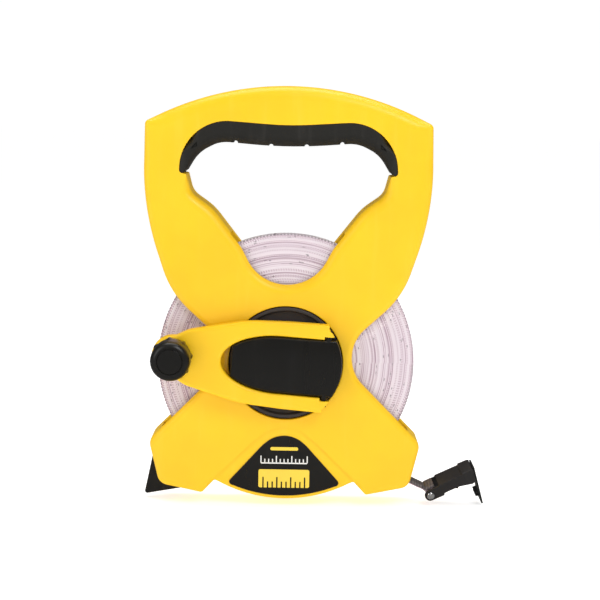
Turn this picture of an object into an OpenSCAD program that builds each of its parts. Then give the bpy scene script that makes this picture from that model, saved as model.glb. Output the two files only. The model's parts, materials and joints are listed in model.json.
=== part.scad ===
// Open-reel long tape: an open, X-shaped frame with a hand grip carries a reel of
// ribbon tape, wound by a forked crank that folds over the hub.
// It hangs upright from the grip: the front looks along -Y, +Z is up, +X is the side
// where the tape comes out, and the origin is the middle of the hand grip.
// Outlines are drawn in X and Z around the hub axis, and at_hub() puts them in place.

/* [Tape] */
// Length of tape on the reel, in feet
tape_feet = 100; // [60:5:100]
// Width of the tape ribbon
tape_w = 12.7; // [10:0.1:12.7]
// Thickness of the tape ribbon
tape_t = 0.5; // [0.3:0.05:0.5]
// Radial step from one turn of the coil to the next
turn_pitch = 0.55; // [0.45:0.01:0.55]
// Radius of the drum that the tape is wound on
drum_r = 38.3; // [37.5:0.1:38.3]

/* [Frame] */
// Depth of the whole case, front face to back face
case_d = 32; // [31:0.5:36]
// Half of the width across the shoulders
half_w = 92.8; // [92:0.1:96]
// Radius of the arched top edge
top_r = 189; // [185:1:195]
// Height of the top of the arch over the hub
top_z = 176.8; // [175:0.2:180]
// Radius of the round belly under the hub
belly_r = 89.8; // [89.5:0.1:90]
// Thickness of the front plate
plate_t = 3.5; // [3:0.1:3.5]
// Thickness of the shell walls
wall = 3; // [2.5:0.1:3]
// Radius of the round hole that the hub shows through
hub_hole_r = 36.8; // [36.8:0.1:37.2]
// Height of the middle of the hand grip over the hub
grip_z = 144.8; // [143:0.2:146]

/* [Crank] */
// Turn of the crank about the hub at rest
crank_turn = 4; // [0:1:10]
// Distance from the hub axis to the knob axis
crank_r = 72; // [70:1:78]
// Distance from the hub axis to the crank's hinge pin
hinge_x = 26; // [25.5:0.1:26]
// Thickness of the crank arm
arm_t = 8; // [7:0.5:8]
// Gap between the front face and the crank arm
arm_gap = 4; // [4:0.5:5]
// Radius of the knob
knob_r = 12.6; // [11:0.1:12.6]
// Length of the knob
knob_len = 22.5; // [20:0.5:25]

/* [Tape end] */
// Angle that the tape slopes down at as it leaves the mouth
exit_slope = 25; // [23:0.5:26]
// Angle that the hook is raised to at rest
hook_rise = 26; // [25:0.1:35]
// Twist of the hook towards the front
hook_twist = 14; // [5:1:16]
// Width of the hook over its cheeks
hook_w = 16.2; // [16:0.1:17]

/* [Hidden] */
$fn = 64;
eps = 0.01;             // overlap that joins two solids
sag = 0.1;              // how far a rounded outline may cut inside its true arc
yellow = "#fcd62c";
black = "#22211f";
rubber = "#302e28";
steel = "#b9bcc0";
white = "#f4ebf1";

// depths along Y, front to back
front_y = -case_d / 2;
back_y = case_d / 2;
plate_y = front_y + plate_t;
split_y = 4.5;          // seam between the two shells, behind the coil
coil_y0 = -3.5 - tape_w / 2;
coil_y1 = -3.5 + tape_w / 2;
arm_y1 = front_y - arm_gap;
arm_y0 = arm_y1 - arm_t;
pin_y = (arm_y0 + arm_y1) / 2;

foot_mm = 304.8;
coil_r = sqrt(drum_r * drum_r + tape_feet * foot_mm * turn_pitch / PI);

// corners of the right side of the frame, top to bottom: x, z, corner radius
shoulder = [half_w - 1.4, 153.3, 3.5];
frame_side = [
    shoulder,
    [half_w, 99, 175],
    [74.5, 43.9, 60],
    [31.7, 4.8, 25],
    [88.2, -52.2, 8],
    [81.2, -81, 8],
    [53.3, -86.2, 2.5],
    [45.2, -78, 1.5]
];
// corners of the right side of the hand opening, from the top middle to the bottom one
open_side = [
    [0, 151.7, 200],
    [69.8, 156.3, 30.5],
    [69.4, 121.2, 2],
    [65.2, 120.4, 0.8],
    [61.7, 108.4, 12],
    [47.8, 98.6, 40],
    [28.8, 74.2, 30],
    [0, 18.8, 24.5]
];
// corners of the underside of the grip, from the middle to the tip
grip_side = [
    [0, 137.7, 300],
    [44, 141.2, 22],
    [58.5, 133.6, 24],
    [65.6, 122.2, 1.6],
    [71.6, 118.5, 1]
];
finger_x = 22.7;        // spacing of the finger grooves
well_r = 91;            // clearance cut for the coil in the walls of the front shell
well_z = -46;           // the well's lower end
panel_d = 1.2;          // depth of the label panel under the front face
label_t = 0.6;

// screws that hold the shells together: x, z about the hub
screw_at = [[0, 164], [80.5, 143], [-80.5, 143], [71, 72], [-71, 72], [79, -57], [-79, -57]];
screw_r = 1.5;
screw_head_r = 3;
screw_head_y = 12;      // underside of the heads
boss_r = 3.6;

axle_r = 4;
axle_head_r = 8;
run = 0.2;              // running clearance
hub_disc_r = hub_hole_r - 0.6;
hub_rim_y = front_y + 1;
hub_floor_y = front_y + 3.8;
hub_back_y = front_y + 5.8;
web_y = 1;              // front of the drum's web
drum_y1 = 4;            // back of the drum
drum_wall = 3;
hub_screw_r = 24;       // radius that the hub screws stand on
bar_half = 18.2;
ledge_half = 21;
bar_y0 = arm_y0 + 0.6;
ledge_y = arm_y1 + 0.8;
hinge_pin_r = 2;
knuckle_r = 4.4;
slot_half = 19;         // half width of the fork's slot
slot_x = -4;            // where the slot starts to narrow
slot_long = 37.3;       // how far the slot reaches from there
ear_in = 20.8;          // inner face of the ears that hold the hinge pin
arm_half = 28.3;        // half width of the arm at its hinge

stud_r = 3;
knob_y1 = arm_y0 - 0.5;
knob_y0 = knob_y1 - knob_len;
pocket_r = 8;
pocket_d = 5;
cap_t = 2;

// the tape's way out: off the coil, over the guide pin and down through the mouth
guide_at = [56.6, -70.2];
guide_r = 2.5;
tape_off = 0.4;         // air between the coil and the tape that leaves it
ride = 0.05;            // air between the guide pin and the tape
bend_r = guide_r + ride + tape_t / 2;
leave_r = coil_r + tape_off + tape_t / 2;
leave_rise = atan2(guide_at.x, -guide_at.y) - acos((leave_r + bend_r) / norm(guide_at));
tongue_from = guide_at + bend_r * [sin(exit_slope), cos(exit_slope)];
mouth_s = 27.4;         // along the exit, from the start of the tongue to the mouth
rivet_s = mouth_s + 14;
strap_from = mouth_s - 9;
kink_s = mouth_s + 9;
strap_t = 2;
rivet_r = 1.8;
rivet_at = tongue_from + rivet_s * [cos(exit_slope), -sin(exit_slope)];
tongue_gap = 0.3;
end_w = 12.4;           // width of the strap
eye_w = 10.8;           // width of the strap and the tape between the hook's cheeks

cheek_t = 1.5;
cheek_r = 3.8;
claw_top = [32.4, 5];
claw_tip = [27.7, -22];
claw_along = unit(claw_tip - claw_top);
claw_t = 1.2;
claw_w = 12;

// ---- outlines ----

function unit(v) = v / norm(v);
function turned(v, a) = [v.x * cos(a) - v.y * sin(a), v.x * sin(a) + v.y * cos(a)];
function arc_points(r, a0, a1, n) = [for (i = [0:n]) let (a = a0 + (a1 - a0) * i / n) r * [cos(a), sin(a)]];

// the points of one corner b between its neighbours a and c, rounded to the radius r
function corner(a, b, c, r) =
    r == 0 ? [b] :
    let (u = unit(a - b), v = unit(c - b), half = acos(u * v) / 2)
    let (mid = b + unit(u + v) * r / sin(half), from = b + u * r / tan(half) - mid)
    let (sweep = (180 - 2 * half) * sign(cross(b - a, c - b)))
    let (n = ceil(abs(sweep) / (2 * acos(1 - min(sag / r, 0.3)))))
    [for (i = [0:n]) mid + turned(from, sweep * i / n)];

// a closed outline of corners [x, z, radius]
function rounded(path) =
    let (n = len(path), p = [for (q = path) [q.x, q.y]])
    [for (i = [0:n - 1]) each corner(p[(i + n - 1) % n], p[i], p[(i + 1) % n], path[i].z)];

function reversed(path) = [for (i = [len(path) - 1:-1:0]) path[i]];
function flipped(path) = [for (p = path) [-p.x, p.y, p.z]];
function inner(path) = [for (i = [1:len(path) - 2]) path[i]];
function sharp(points) = [for (p = points) [p.x, p.y, 0]];
// a closed outline from its right side: the first and last corners lie on the middle line
function both_sides(path) = rounded(concat(path, flipped(reversed(inner(path)))));

module frame_outline() {
    arch_a = acos((shoulder.x - shoulder.z) / top_r);
    arch = [for (p = arc_points(top_r, arch_a, 180 - arch_a, 24)) p + [0, top_z - top_r]];
    notch = frame_side[len(frame_side) - 1];
    belly_a = atan2(notch.y, notch.x) - 2;
    polygon(rounded(concat(sharp(arch), flipped(frame_side),
        sharp(arc_points(belly_r, -180 - belly_a, belly_a, 20)), reversed(frame_side))));
}

module open_outline() {
    polygon(both_sides(open_side));
}

module frame_2d() {
    difference() {
        frame_outline();
        open_outline();
    }
}

module cavity_2d() {
    offset(delta = -wall) frame_2d();
}

module grip_2d() {
    difference() {
        intersection() {
            open_outline();
            polygon(both_sides(concat([[0, 170, 0], [76, 170, 0]], reversed(grip_side))));
        }
        for (i = [-1.5:1:1.5]) translate([finger_x * i, 137.9 + 0.9 * abs(i)]) circle(1.5);
    }
}

// the belly panel, and the label that lies in it
module panel_2d() {
    intersection() {
        circle(belly_r + 1);
        polygon(rounded([[0, -36.2, 22], [20.5, -52, 3], [50, -80.7, 0], [50, -100, 0],
            [-50, -100, 0], [-50, -80.7, 0], [-20.5, -52, 3]]));
    }
}

module label_2d() {
    intersection() {
        circle(belly_r - 2.5);
        polygon(rounded([[0, -42, 18], [14.5, -54.5, 4], [38.4, -79.4, 2], [30, -100, 0],
            [-30, -100, 0], [-38.4, -79.4, 2], [-14.5, -54.5, 4]]));
    }
}

module spike_2d() {
    polygon(rounded([[-92.4, -92, 1.6], [-86.2, -62, 0], [-84.4, -51.5, 3], [-74, -51, 3],
        [-73, -62, 4], [-62, -74, 0], [-56, -85.4, 0]]));
}

module arm_2d() {
    side = [[hinge_x - 0.1, arm_half, 0], [0, arm_half - 0.2, 60], [-27, arm_half - 1.6, 90],
        [-63, 18, 20]];
    end_r = 13.5;
    difference() {
        union() {
            polygon(rounded(concat(side, [[-crank_r, end_r, 0], [-crank_r, -end_r, 0]],
                [for (i = [len(side) - 1:-1:0]) [side[i].x, -side[i].y, side[i].z]])));
            translate([-crank_r, 0]) circle(end_r);
        }
        translate([slot_x, 0]) scale([slot_long, slot_half - 0.3]) circle(1, $fn = 96);
        polygon([[slot_x, slot_half - 0.3], [hinge_x + 20, slot_half], [hinge_x + 20, -slot_half],
            [slot_x, -slot_half + 0.3]]);
    }
}

// ---- places and plain solids ----

module at_hub() {
    translate([0, 0, -grip_z]) children();
}

module at_crank() {
    at_hub() rotate([0, crank_turn, 0]) children();
}

// an outline in X and Z, from y0 back to y1
module slab(y0, y1) {
    translate([0, y1, 0]) rotate([90, 0, 0]) linear_extrude(y1 - y0) children();
}

module rod(r, y0, y1, x = 0, z = 0) {
    translate([x, y1, z]) rotate([90, 0, 0]) cylinder(r = r, h = y1 - y0);
}

// along the tape's exit: local X runs out of the mouth, local Z is its upper side
module at_exit(s = 0) {
    at_hub() translate([tongue_from.x, -3.5, tongue_from.y]) rotate([0, exit_slope, 0])
        translate([s, 0, 0]) children();
}

// in the hook: local X runs to the claw, local Y is the rivet's axis
module at_hook() {
    at_hub() translate([rivet_at.x, -3.5, rivet_at.y]) rotate([0, -hook_rise, 0])
        rotate([hook_twist, 0, 0]) children();
}

module ribbon(x0, x1, z0, z1, w) {
    translate([x0, -w / 2, z0]) cube([x1 - x0, w, z1 - z0]);
}

// ---- frame ----

module mouth_cut(grow) {
    at_exit(mouth_s) translate([-9, 0, 0]) ribbon(0, 20, -2.2 - grow, 4.2 + grow, tape_w + 3.2 + 2 * grow);
}

// room for the coil between the front plate and the seam
module coil_well() {
    intersection() {
        rod(well_r, plate_y, split_y + 1);
        translate([-well_r, plate_y - 1, well_z]) cube([2 * well_r, case_d, 2 * well_r]);
    }
}

module front_shell() {
    color(yellow) difference() {
        at_hub() difference() {
            union() {
                difference() {
                    slab(front_y, split_y) frame_2d();
                    slab(plate_y, split_y + 1) cavity_2d();
                    coil_well();
                }
                for (p = screw_at) rod(boss_r, plate_y - eps, split_y, p.x, p.y);
                rod(guide_r + 2, plate_y - eps, coil_y0 - 1.2, guide_at.x, guide_at.y);
            }
            rod(hub_hole_r, front_y - 1, plate_y + 1);
            for (p = screw_at) rod(screw_r, plate_y + 2, split_y + 1, p.x, p.y);
            rod(guide_r, plate_y, coil_y0, guide_at.x, guide_at.y);
            slab(front_y - 1, front_y + panel_d) panel_2d();
            slab(split_y - 2, split_y + 1) spike_2d();
        }
        mouth_cut(0);
    }
}

module back_shell() {
    color(yellow) difference() {
        at_hub() difference() {
            union() {
                difference() {
                    slab(split_y, back_y) frame_2d();
                    slab(split_y - 1, back_y - wall) cavity_2d();
                }
                for (p = screw_at) rod(boss_r + 1.6, split_y, back_y - 1, p.x, p.y);
                rod(axle_head_r + 2.5, drum_y1 + 0.6, back_y - 1);
                rod(guide_r + 2, split_y, back_y - 1, guide_at.x, guide_at.y);
            }
            for (p = screw_at) rod(screw_r + 0.1, split_y - 1, back_y, p.x, p.y);
            for (p = screw_at) rod(screw_head_r + 0.3, screw_head_y, back_y + 1, p.x, p.y);
            rod(axle_r, drum_y1, back_y);
            rod(axle_head_r + 0.3, back_y - 2.6, back_y + 1);
            rod(guide_r, split_y - 1, split_y + 4, guide_at.x, guide_at.y);
            slab(split_y - 1, split_y + 2) spike_2d();
        }
        mouth_cut(0);
    }
}

module handle_grip() {
    color(rubber) at_hub() slab(front_y + 0.6, back_y - 0.6) grip_2d();
}

module ground_spike() {
    held_by = screw_at[len(screw_at) - 1];
    color(black) at_hub() difference() {
        slab(split_y - 2, split_y + 2) spike_2d();
        rod(screw_r, split_y - 3, split_y + 3, held_by.x, held_by.y);
    }
}

module label_plate() {
    color(black) at_hub() slab(front_y + panel_d - label_t, front_y + panel_d) label_2d();
}

module case_screws() {
    color(steel) at_hub() for (p = screw_at) {
        rod(screw_r, plate_y + 4, screw_head_y, p.x, p.y);
        difference() {
            rod(screw_head_r, screw_head_y, screw_head_y + 2, p.x, p.y);
            translate([p.x, screw_head_y + 1.6, p.y]) cube([4, 1.4, 0.8], center = true);
            translate([p.x, screw_head_y + 1.6, p.y]) cube([0.8, 1.4, 4], center = true);
        }
    }
}

module axle_bolt() {
    color(steel) at_hub() {
        rod(axle_r, hub_back_y + 0.8, back_y - 2.6);
        difference() {
            rod(axle_head_r, back_y - 2.6, back_y - 0.4);
            translate([0, back_y - 0.4, 0]) cube([11, 2.4, 1.8], center = true);
        }
    }
}

module axle_clip() {
    color(steel) at_hub() difference() {
        rod(axle_r + 3, -8.2, -7.2);
        rod(axle_r, -9, -6);
    }
}

module tape_guide_pin() {
    color(steel) at_hub() rod(guide_r, plate_y, split_y + 4, guide_at.x, guide_at.y);
}

// lines the mouth, so that the tape does not wear the shells
module mouth_guide() {
    color(black) difference() {
        intersection() {
            mouth_cut(0);
            at_hub() slab(plate_y, back_y - wall) frame_2d();
        }
        at_exit(mouth_s - 10) ribbon(0, 22, -1, strap_t + 1, tape_w + 0.8);
    }
}

// ---- tape between the coil and the guide pin ----

function around_guide(r) = [for (p = arc_points(r, 90 + leave_rise, 90 - exit_slope, 8)) guide_at + p];

module tape_run() {
    half = tape_t / 2;
    up = [-sin(leave_rise), cos(leave_rise)];
    off_coil = -leave_r * up;
    color(white) at_hub() slab(coil_y0, coil_y1) polygon(concat([off_coil + half * up],
        around_guide(bend_r + half), reversed(around_guide(bend_r - half)), [off_coil - half * up]));
}

// ---- reel ----

module hub_screw_places() {
    for (a = [30:120:270]) rotate([0, -a, 0]) translate([hub_screw_r, 0, 0]) children();
}

module reel_drum() {
    color(black) at_crank() difference() {
        union() {
            difference() {
                rod(drum_r, hub_back_y, drum_y1);
                rod(drum_r - drum_wall, hub_back_y - 1, web_y);
            }
            rod(axle_r + 5, -6.8, web_y + eps);
            rod(4, coil_y0, web_y + eps, 0, drum_r - drum_wall - 1.6);
            for (a = [0:60:300]) rotate([0, a, 0]) translate([axle_r + 4, -3, -1])
                cube([drum_r - drum_wall / 2 - axle_r - 4, web_y + 3 + eps, 2]);
        }
        rod(axle_r + run, -8, drum_y1 + 1);
        rod(1.5, coil_y0 - 1, coil_y1, 0, drum_r - drum_wall - 1.6);
        hub_screw_places() {
            rod(screw_r + 0.1, 0, drum_y1 + 1);
            rod(screw_head_r + 0.2, drum_y1 - 1.6, drum_y1 + 1);
            rod(4, -4, web_y);
        }
    }
}

// the round cover that fills the hub hole, with the bar that the crank straddles
module hub_cover() {
    color(black) at_crank() difference() {
        union() {
            rod(hub_disc_r, hub_rim_y, hub_back_y);
            rod(drum_r, plate_y + 0.5, hub_back_y);
            hub_screw_places() rod(3.5, hub_back_y - eps, web_y);
        }
        rod(hub_disc_r - 2.4, hub_rim_y - 1, hub_floor_y);
        hub_screw_places() rod(screw_r, -6, web_y + 1);
    }
    color(black) at_crank() difference() {
        union() {
            slab(bar_y0, hub_floor_y + eps) bar_2d();
            slab(ledge_y, hub_floor_y + eps) ledge_2d();
        }
        translate([hinge_x, pin_y, 0]) cylinder(r = hinge_pin_r, h = 80, center = true);
        translate([hub_disc_r - 3.4, bar_y0, -40]) rotate([0, 0, -35]) translate([0, -10, 0]) cube([12, 10, 80]);
    }
}

// the bar's outline: it fills the fork's slot to the left and is round with the hub to the right
module bar_2d() {
    intersection() {
        circle(hub_disc_r);
        translate([-hub_disc_r + 1.4, -bar_half]) square([2 * hub_disc_r, 2 * bar_half]);
        union() {
            translate([slot_x, 0]) scale([slot_long - 0.7, bar_half]) circle(1, $fn = 96);
            translate([slot_x, -bar_half]) square([2 * hub_disc_r, 2 * bar_half]);
        }
    }
}

module ledge_2d() {
    intersection() {
        translate([hinge_x - 8, -ledge_half]) square([20, 2 * ledge_half]);
        circle(hub_disc_r - 1);
    }
}

module hub_screws() {
    color(steel) at_crank() hub_screw_places() {
        rod(screw_r, -5, drum_y1 - 1.6);
        rod(screw_head_r, drum_y1 - 1.6, drum_y1 - 0.2);
    }
}

module tape_anchor() {
    color(steel) at_crank() rod(1.5, coil_y0 + 0.5, coil_y1, 0, drum_r - drum_wall - 1.6);
}

module tape_coil() {
    color(white) at_hub() difference() {
        rod(coil_r, coil_y0, coil_y1);
        rod(drum_r, coil_y0 - 1, coil_y1 + 1);
    }
}

module hinge_pin() {
    color(steel) at_crank() translate([hinge_x, pin_y, 0])
        cylinder(r = hinge_pin_r, h = 2 * 24.6, center = true);
}

// ---- crank ----

module crank_arm() {
    color(yellow) at_crank() difference() {
        union() {
            slab(arm_y0, arm_y1) arm_2d();
            intersection() {
                for (s = [-1, 1]) translate([hinge_x, pin_y, s * (ear_in + arm_half) / 2])
                    cylinder(r = knuckle_r, h = arm_half - ear_in, center = true);
                rod(hub_disc_r, arm_y0 - 2, arm_y1 + 2);
                translate([hinge_x - 0.2, arm_y0, -50]) cube([20, arm_t, 100]);
            }
        }
        translate([hinge_x, pin_y, 0]) cylinder(r = hinge_pin_r + run / 2, h = 2 * 25, center = true);
        translate([hinge_x - 2.6, arm_y0 - 1, -ear_in]) cube([20, arm_t + 2, 2 * ear_in]);
        rod(stud_r, arm_y0 - 1, arm_y1 + 1, -crank_r);
        rod(stud_r + 2.6, arm_y1 - 2, arm_y1 + 1, -crank_r);
    }
}

module knob_stud() {
    color(steel) at_crank() {
        rod(stud_r, knob_y0 + pocket_d - 2.4, arm_y1 - 2, -crank_r);
        rod(stud_r + 2.6, arm_y1 - 2, arm_y1 - 0.2, -crank_r);
    }
}

module knob_clip() {
    color(steel) at_crank() difference() {
        rod(6, knob_y0 + pocket_d - 1.3, knob_y0 + pocket_d - 0.3, -crank_r);
        rod(stud_r, knob_y0, knob_y1, -crank_r);
    }
}

module knob() {
    ribs = 8;
    edge = 4.2;
    color(black) at_crank() translate([-crank_r, 0, 0]) difference() {
        union() {
            translate([0, knob_y1, 0]) rotate([90, 0, 0]) rotate_extrude() polygon(concat(
                [[0, 0], [knob_r - 1.6, 0], [knob_r - 0.4, 1.6], [knob_r, 6]],
                [for (a = [0:15:90])
                    [knob_r - edge + edge * cos(a), knob_len - edge + edge * sin(a)]],
                [[0, knob_len]]));
            for (i = [0:ribs - 1]) rotate([0, 22.5 + i * 360 / ribs, 0])
                rod(1.4, knob_y0 + 9, knob_y1 - 1.8, knob_r - 0.7);
        }
        rod(stud_r + run, knob_y0 - 1, knob_y1 + 1);
        rod(pocket_r, knob_y0 - 1, knob_y0 + pocket_d);
    }
}

module knob_cap() {
    color(black) at_crank() rod(pocket_r, knob_y0, knob_y0 + cap_t, -crank_r);
}

// ---- tape end and hook ----

module tape_tongue() {
    color(white) difference() {
        union() {
            at_exit() ribbon(tongue_gap, kink_s - 1, -tape_t / 2, tape_t / 2, tape_w);
            at_exit() ribbon(kink_s - 2, rivet_s, -tape_t / 2, tape_t / 2, eye_w);
            at_hook() rod(rivet_r + 0.7, -eye_w / 2, eye_w / 2);
        }
        at_hook() rod(rivet_r, -end_w, end_w);
    }
}

module end_strap() {
    color(black) {
        at_exit() ribbon(strap_from, kink_s - 1, tape_t / 2, tape_t / 2 + strap_t, end_w);
        at_exit() ribbon(kink_s - 2, kink_s + 0.8, tape_t / 2, tape_t / 2 + strap_t, eye_w);
        at_hook() ribbon(-0.7, 4.6, 3.3, 3.3 + strap_t, eye_w);
    }
}

module hook_rivet() {
    color(steel) at_hook() {
        rod(rivet_r, -hook_w / 2 - 0.3, hook_w / 2 + 0.3);
        for (s = [-1, 1]) rod(2.5, s * (hook_w / 2 + 0.6) - 0.35, s * (hook_w / 2 + 0.6) + 0.35);
    }
}

module hook_body() {
    color(black) at_hook() difference() {
        union() {
            rod(cheek_r, -hook_w / 2, hook_w / 2);
            slab(-hook_w / 2, hook_w / 2) polygon([[0, cheek_r], [7, cheek_r], [7.6, 4.4],
                [24, 4.4], [24.5, 5.2], claw_top, claw_top + 8.8 * claw_along, [28.4, -5], [19, -2.6],
                [18, -3.4], [16.5, -2.6], [9, -2.6], [8.3, -cheek_r], [0, -cheek_r]]);
        }
        slab(-hook_w / 2 + cheek_t, hook_w / 2 - cheek_t) polygon([[-9, 9], [7.6, 9], [7.6, 2.8],
            [30.2, 2.8], [28.8, -9], [-9, -9]]);
        translate([16.5, 0, 0]) for (s = [-1, 1]) translate([s * 4, 0, 0]) cylinder(r = 3, h = 9);
        translate([12.5, -3, 0]) cube([8, 6, 9]);
        rod(rivet_r + run / 2, -hook_w, hook_w);
    }
}

module claw_plate() {
    out = [-claw_along.y, claw_along.x];
    tip = claw_tip + out * claw_t / 2;
    color(black) at_hook() {
        slab(-claw_w / 2, claw_w / 2)
            polygon([claw_top, claw_top + out * claw_t, claw_tip + out * claw_t, claw_tip]);
        rod(claw_t / 2, -claw_w / 2, claw_w / 2, tip.x, tip.y);
        for (s = [19.2, 21.2]) slab(-claw_w / 2 + 1, claw_w / 2 - 1)
            polygon([for (q = [[0.4, 0.7], [-2.6, 0], [0.4, -0.7]])
                claw_top + claw_along * (s + q.y) + out * q.x]);
    }
}

front_shell();
back_shell();
handle_grip();
ground_spike();
label_plate();
case_screws();
axle_bolt();
axle_clip();
tape_guide_pin();
mouth_guide();
tape_run();
reel_drum();
hub_cover();
hub_screws();
tape_anchor();
tape_coil();
hinge_pin();
crank_arm();
knob_stud();
knob_clip();
knob();
knob_cap();
tape_tongue();
end_strap();
hook_rivet();
hook_body();
claw_plate();
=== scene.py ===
import json
import math

import bmesh
import bpy
from mathutils import Matrix, Vector, noise
from mathutils.geometry import tessellate_polygon


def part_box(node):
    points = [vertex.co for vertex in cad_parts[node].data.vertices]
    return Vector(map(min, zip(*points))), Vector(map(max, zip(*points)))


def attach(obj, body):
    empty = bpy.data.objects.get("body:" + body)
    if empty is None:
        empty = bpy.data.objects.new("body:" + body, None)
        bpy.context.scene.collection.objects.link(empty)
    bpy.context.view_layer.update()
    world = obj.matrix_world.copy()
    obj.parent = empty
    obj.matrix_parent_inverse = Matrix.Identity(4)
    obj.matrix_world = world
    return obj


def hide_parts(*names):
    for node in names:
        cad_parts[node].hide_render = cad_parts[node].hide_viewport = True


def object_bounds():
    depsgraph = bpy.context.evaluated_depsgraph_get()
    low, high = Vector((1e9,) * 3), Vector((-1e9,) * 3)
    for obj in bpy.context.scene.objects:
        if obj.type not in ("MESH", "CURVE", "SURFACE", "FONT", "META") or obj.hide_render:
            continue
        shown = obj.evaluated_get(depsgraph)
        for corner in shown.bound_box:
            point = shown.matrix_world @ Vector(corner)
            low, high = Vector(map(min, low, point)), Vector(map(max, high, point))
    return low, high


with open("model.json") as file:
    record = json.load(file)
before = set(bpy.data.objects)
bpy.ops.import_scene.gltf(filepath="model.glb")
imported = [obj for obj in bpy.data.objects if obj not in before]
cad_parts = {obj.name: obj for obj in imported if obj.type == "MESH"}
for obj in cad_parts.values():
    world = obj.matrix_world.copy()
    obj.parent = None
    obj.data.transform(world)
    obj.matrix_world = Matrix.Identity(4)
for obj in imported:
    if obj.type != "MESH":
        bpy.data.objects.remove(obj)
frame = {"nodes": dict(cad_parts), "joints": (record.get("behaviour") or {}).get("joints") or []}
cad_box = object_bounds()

# An open-reel long tape, built around its CAD frame. Outlines are in millimetres, in X and Z
# around the hub axis, and depths are in millimetres along Y, from the CAD nodes' own boxes.

MM = 0.001
joints = {joint["name"]: joint for joint in frame["joints"]}
hub = Vector(joints["reel_spin"]["pos_m"])
TO_ROW = Matrix.Translation(hub) @ Matrix.Scale(MM, 4)

# places, in millimetres around the hub
crank_axis = Vector(joints["crank_fold"]["axis"])
pull_axis = Vector(joints["tape_pull"]["axis"])
swing_axis = Vector(joints["hook_swing"]["axis"])
rivet = (Vector(joints["hook_swing"]["pos_m"]) - hub) / MM
hook_twist = math.acos(swing_axis.y)
hook_rise = math.atan2(-swing_axis.x, swing_axis.z)
HUB = Matrix.Identity(4)
CRANK = Matrix.Rotation(math.atan2(crank_axis.x, crank_axis.z), 4, "Y")
EXIT = Matrix.Translation(rivet) @ Matrix.Rotation(math.atan2(-pull_axis.z, pull_axis.x), 4, "Y")
HOOK = Matrix.Translation(rivet) @ Matrix.Rotation(-hook_rise, 4, "Y") @ Matrix.Rotation(hook_twist, 4, "X")
hinge = CRANK.inverted() @ ((Vector(joints["crank_fold"]["pos_m"]) - hub) / MM)
knob_axis = CRANK.inverted() @ ((Vector(joints["knob_spin"]["pos_m"]) - hub) / MM)


def depths(node):
    """The nearest and farthest Y of a CAD node, in millimetres."""
    low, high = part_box(node)
    return low.y / MM, high.y / MM


FRONT, SEAM = depths("front_shell")
BACK = depths("back_shell")[1]
ARM_THICK = 8
ARM_FRONT, ARM_BACK = hinge.y - ARM_THICK / 2, hinge.y + ARM_THICK / 2
COIL_FRONT, COIL_BACK = depths("tape_coil")
KNOB_FRONT, KNOB_BACK = depths("knob")
COIL_R = (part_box("tape_coil")[1].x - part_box("tape_coil")[0].x) / 2 / MM
TAPE_PITCH = 0.55       # radial step from one turn of the coil to the next
TAPE_THICK = 0.5
FOOT = 304.8
PLATE = FRONT + 3.5     # back of the front plate
WALL = 3
PANEL_FLOOR = FRONT + 1.2
BELLY_R = 89.8
HUB_HOLE_R = 36.8
HUB_R = 36.2
DRUM_R = 38.3
FINGER_X = 22.7
LAST_TURN = math.floor((COIL_R - DRUM_R) / TAPE_PITCH) - 1.5
TOP_R, TOP_Z = 189, 176.8
ARM_HALF = 28.3         # half width of the arm at its hinge

# corners: x, z, corner radius
FRAME_SIDE = [(91.4, 153.3, 3.5), (92.8, 99, 175), (74.5, 43.9, 60), (31.7, 4.8, 25),
              (88.2, -52.2, 8), (81.2, -81, 8), (53.3, -86.2, 2.5), (45.2, -78, 1.5)]
OPEN_SIDE = [(0, 151.7, 200), (69.8, 156.3, 30.5), (69.4, 121.2, 2), (65.2, 120.4, 0.8),
             (61.7, 108.4, 12), (47.8, 98.6, 40), (28.8, 74.2, 30), (0, 18.8, 27.7)]
GRIP_SIDE = [(0, 151.7, 200), (69.8, 156.3, 30.5), (69.4, 121.2, 1.9), (67.4, 120.9, 0.8),
             (65.4, 122.4, 1.3), (58.5, 133.6, 24), (44, 141.2, 22), (0, 137.7, 300)]
PANEL = [(0, -36.2, 22), (20.5, -52, 3), (50, -80.7, 0), (50, -100, 0),
         (-50, -100, 0), (-50, -80.7, 0), (-20.5, -52, 3)]
LABEL_FACE = FRONT + 0.6
LABEL_SIDE = [(0, -42, 18), (14.5, -54.5, 4), (36.6, -79, 2)]
SPIKE = [(-92.4, -92, 1.6), (-86.2, -62, 0), (-84.4, -51.5, 3), (-74, -51, 3),
         (-73, -62, 4), (-62, -74, 0), (-56, -85.4, 0)]
SCREWS = [(0, 164), (80.5, 143), (-80.5, 143), (71, 72), (-71, 72), (79, -57), (-79, -57)]


# ---- outlines ----

def corner(a, b, c, radius):
    """The points of corner b between its neighbours a and c, rounded to the radius."""
    if radius == 0:
        return [b.copy()]
    u, v = (a - b).normalized(), (c - b).normalized()
    half = math.acos(max(-1, min(1, u.dot(v)))) / 2
    middle = b + (u + v).normalized() * radius / math.sin(half)
    start = b + u * radius / math.tan(half) - middle
    sweep = math.copysign(math.pi - 2 * half, (b - a).cross(c - b))
    step = min(math.radians(9), 2 * math.acos(1 - 0.02 / max(radius, 0.05)))
    count = max(2, math.ceil(abs(sweep) / step))
    points = []
    for i in range(count + 1):
        turn = Matrix.Rotation(sweep * i / count, 2)
        points.append(middle + turn @ start)
    return points


def rounded(corners):
    """A closed outline from corners (x, z, radius)."""
    flat = [Vector((x, z)) for x, z, _ in corners]
    points = []
    for i, (_, _, radius) in enumerate(corners):
        points += corner(flat[i - 1], flat[i], flat[(i + 1) % len(flat)], radius)
    return points


def arc(radius, start, end, count, centre=(0, 0)):
    """Points along an arc, angles in degrees."""
    points = []
    for i in range(count + 1):
        a = math.radians(start + (end - start) * i / count)
        points.append(Vector((centre[0] + radius * math.cos(a), centre[1] + radius * math.sin(a))))
    return points


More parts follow.
